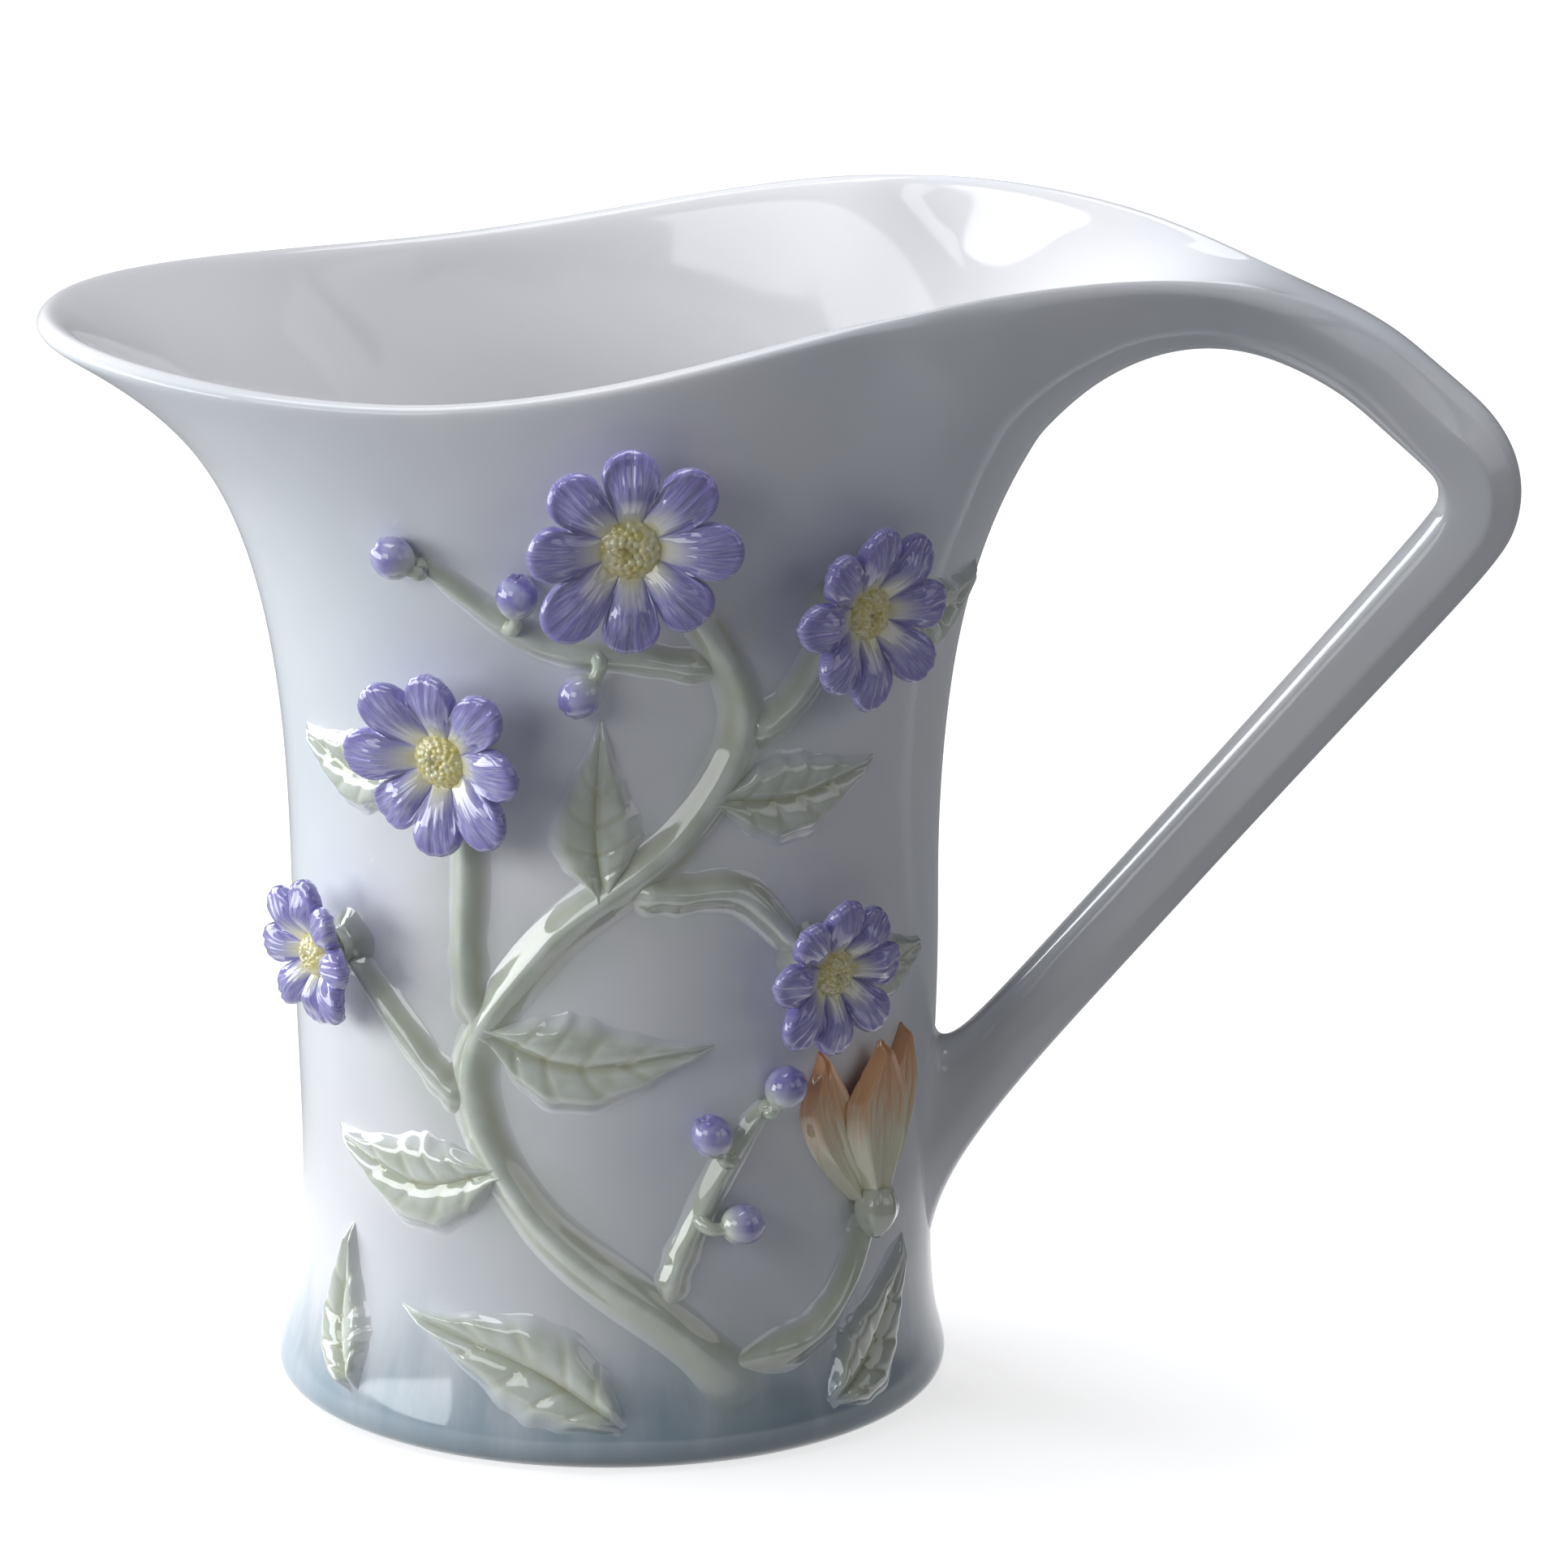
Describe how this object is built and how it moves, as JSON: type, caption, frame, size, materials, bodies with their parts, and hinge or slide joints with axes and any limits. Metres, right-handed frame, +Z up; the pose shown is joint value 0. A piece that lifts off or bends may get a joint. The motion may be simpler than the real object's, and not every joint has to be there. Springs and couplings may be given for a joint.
{
  "type": "creamer",
  "caption": "Slim porcelain jug with a flared spout, a rim that rolls into an angular handle, and a vine of flowers, berries and leaves in relief on its front.",
  "frame": {"origin": "middle of the round foot, in the plane that the foot ring stands on", "axes": "+Z up, +X towards the handle, -X towards the spout, -Y towards the side that carries the flowers"},
  "size_m": [0.1542, 0.0785, 0.1235],
  "materials": {
    "white_glaze": "white porcelain under clear gloss glaze",
    "lilac_glaze": "lilac underglaze paint under clear gloss glaze",
    "leaf_glaze": "pale green underglaze wash under clear gloss glaze",
    "eye_glaze": "pale yellow underglaze paint under clear gloss glaze",
    "ember_glaze": "cream to orange underglaze paint under clear gloss glaze"
  },
  "bodies": {
    "root": {"jug_body": "white_glaze", "handle": "white_glaze", "vine": "leaf_glaze", "twig_1": "leaf_glaze", "twig_2": "leaf_glaze", "twig_3": "leaf_glaze", "twig_4": "leaf_glaze", "blossom_1": "lilac_glaze", "blossom_2": "lilac_glaze", "blossom_3": "lilac_glaze", "blossom_4": "lilac_glaze", "blossom_5": "lilac_glaze", "eye_1": "eye_glaze", "eye_2": "eye_glaze", "eye_3": "eye_glaze", "eye_4": "eye_glaze", "eye_5": "eye_glaze", "calyx_1": "leaf_glaze", "calyx_2": "leaf_glaze", "calyx_3": "leaf_glaze", "calyx_4": "leaf_glaze", "calyx_5": "leaf_glaze", "spray_upper": "leaf_glaze", "spray_lower": "leaf_glaze", "berry_1": "lilac_glaze", "berry_2": "lilac_glaze", "berry_3": "lilac_glaze", "berry_4": "lilac_glaze", "berry_5": "lilac_glaze", "berry_6": "lilac_glaze", "leaf_1": "leaf_glaze", "leaf_2": "leaf_glaze", "leaf_3": "leaf_glaze", "leaf_4": "leaf_glaze", "leaf_5": "leaf_glaze", "leaf_6": "leaf_glaze", "leaf_7": "leaf_glaze", "leaf_8": "leaf_glaze", "leaf_9": "leaf_glaze", "leaf_10": "leaf_glaze", "leaf_11": "leaf_glaze", "ember_stem": "leaf_glaze", "ember_cup": "leaf_glaze", "ember_petal_1": "ember_glaze", "ember_petal_2": "ember_glaze", "ember_petal_3": "ember_glaze"}
  },
  "joints": []
}
